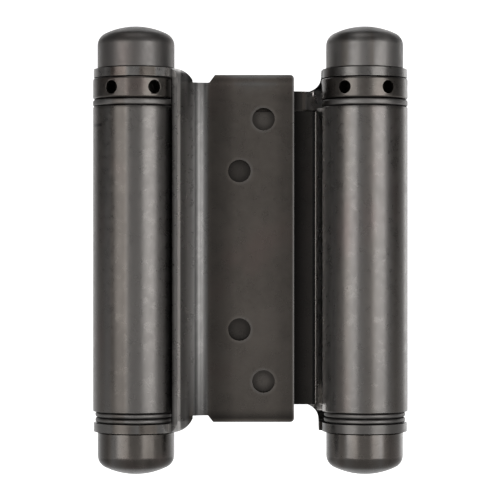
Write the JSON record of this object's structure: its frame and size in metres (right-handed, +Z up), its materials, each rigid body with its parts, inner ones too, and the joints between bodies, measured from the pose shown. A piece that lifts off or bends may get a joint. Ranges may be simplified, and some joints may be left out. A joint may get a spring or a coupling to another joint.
{
  "type": "spring hinge",
  "caption": "Double-action spring hinge: a leaf hangs on each of two spring barrels joined by a rolled centre web, so a swing door opens both ways and closes by itself.",
  "frame": {"origin": "on the jamb leaf's mounting face, midway between the two barrel axes and at half the height of the barrels", "axes": "+Z up along the barrel axes, +Y out of the jamb leaf's mounting face into the jamb, -Y towards the door, +X from the door-side barrel to the jamb-side barrel"},
  "size_m": [0.0694, 0.0203, 0.0988],
  "materials": {
    "aged_bronze": "dark aged bronze, semi-gloss",
    "dark_bronze": "dark aged bronze, satin",
    "plain_steel": "plain oiled steel",
    "spring_steel": "dark oil-tempered wire"
  },
  "bodies": {
    "jamb_half": {"jamb_leaf": "dark_bronze", "jamb_side_spindle": "plain_steel", "jamb_side_top_cap": "aged_bronze", "jamb_side_bottom_cap": "aged_bronze"},
    "web_half": {"centre_web": "aged_bronze", "door_side_top_washer": "dark_bronze", "door_side_bottom_washer_upper": "dark_bronze", "door_side_bottom_washer_lower": "dark_bronze", "door_side_spring_anchor": "plain_steel", "door_side_torsion_spring": "spring_steel", "jamb_side_top_washer": "dark_bronze", "jamb_side_bottom_washer_upper": "dark_bronze", "jamb_side_bottom_washer_lower": "dark_bronze", "jamb_side_spring_anchor": "plain_steel", "jamb_side_torsion_spring": "spring_steel"},
    "door_half": {"door_leaf": "dark_bronze", "door_side_spindle": "plain_steel", "door_side_top_cap": "aged_bronze", "door_side_bottom_cap": "aged_bronze"},
    "jamb_collar": {"jamb_side_tension_collar": "aged_bronze"},
    "door_collar": {"door_side_tension_collar": "aged_bronze"}
  },
  "joints": [
    {"name": "jamb_side_swing", "type": "hinge", "parent": "jamb_half", "child": "web_half", "pos_m": [0.02525, -0.0033, 0], "axis": [0, 0, 1], "range_deg": [0, 180], "stiffness_Nm_per_rad": 0.4, "deforming": ["jamb_side_torsion_spring"]},
    {"name": "door_side_swing", "type": "hinge", "parent": "web_half", "child": "door_half", "pos_m": [-0.02525, -0.0033, 0], "axis": [0, 0, -1], "range_deg": [0, 180], "stiffness_Nm_per_rad": 0.4, "deforming": ["door_side_torsion_spring"]},
    {"name": "jamb_side_tension", "type": "hinge", "parent": "jamb_half", "child": "jamb_collar", "pos_m": [0.02525, -0.0033, 0], "axis": [0, 0, -1], "range_deg": [0, 180]},
    {"name": "door_side_tension", "type": "hinge", "parent": "door_half", "child": "door_collar", "pos_m": [-0.02525, -0.0033, 0], "axis": [0, 0, -1], "range_deg": [0, 180]}
  ]
}
